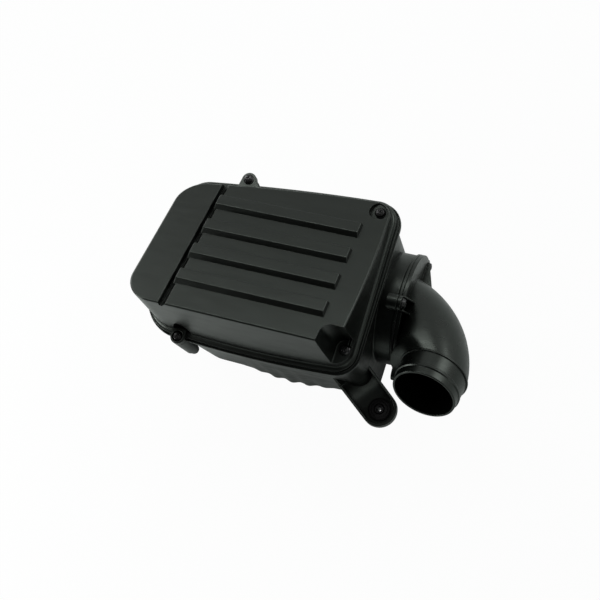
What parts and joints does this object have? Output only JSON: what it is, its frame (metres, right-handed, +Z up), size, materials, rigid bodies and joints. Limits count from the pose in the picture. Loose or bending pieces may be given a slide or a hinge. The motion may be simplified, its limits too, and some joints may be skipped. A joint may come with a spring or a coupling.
{
  "type": "air filter housing",
  "caption": "Engine air filter box: deep lower housing, ribbed wedge lid, pleated panel filter and a bolted round outlet elbow with a rubber-mounted foot.",
  "frame": {"origin": "middle of the lower housing's flat base, on the base plane", "axes": "+X along the ribs towards the outlet collar and elbow; +Y from the near side, where the lid is tall, to the far side, where it is low; +Z up out of the base"},
  "size_m": [0.4291, 0.2671, 0.2704],
  "materials": {
    "housing_plastic": "fine satin moulded texture, black",
    "lid_plastic": "satin moulded, charcoal black",
    "elbow_plastic": "smooth semi-gloss moulded, black",
    "seal_foam": "matt cast polyurethane, dark grey",
    "filter_paper": "resin-treated pleated paper",
    "filter_card": "stiff card",
    "rubber": "smooth black rubber",
    "sleeve_steel": "zinc-plated steel",
    "screw_steel": "black-coated steel, cross recess",
    "insert_brass": "plain brass"
  },
  "bodies": {
    "housing": {"lower_housing": "housing_plastic", "outlet_elbow": "elbow_plastic", "elbow_seal": "rubber", "foot_grommet": "rubber", "foot_sleeve": "sleeve_steel", "lid_insert_1": "insert_brass", "lid_insert_2": "insert_brass", "lid_insert_3": "insert_brass", "lid_insert_4": "insert_brass", "elbow_screw_1": "screw_steel", "elbow_screw_2": "screw_steel", "elbow_screw_3": "screw_steel", "elbow_insert_1": "insert_brass", "elbow_insert_2": "insert_brass", "elbow_insert_3": "insert_brass"},
    "cover": {"lid": "lid_plastic", "lid_screw_1": "screw_steel", "lid_screw_2": "screw_steel", "lid_screw_3": "screw_steel", "lid_screw_4": "screw_steel"},
    "filter": {"filter_frame": "seal_foam", "filter_pleats": "filter_paper", "filter_strip_near": "filter_card", "filter_strip_far": "filter_card"}
  },
  "joints": [
    {"name": "cover_lift", "type": "slide", "parent": "housing", "child": "cover", "axis": [0, 0, 1], "range_m": [0, 0.14]},
    {"name": "filter_lift", "type": "slide", "parent": "housing", "child": "filter", "axis": [0, 0, 1], "range_m": [0, 0.07]}
  ],
  "couplings": [
    {"joint": "filter_lift", "follows": "cover_lift", "ratio": 0.5}
  ]
}
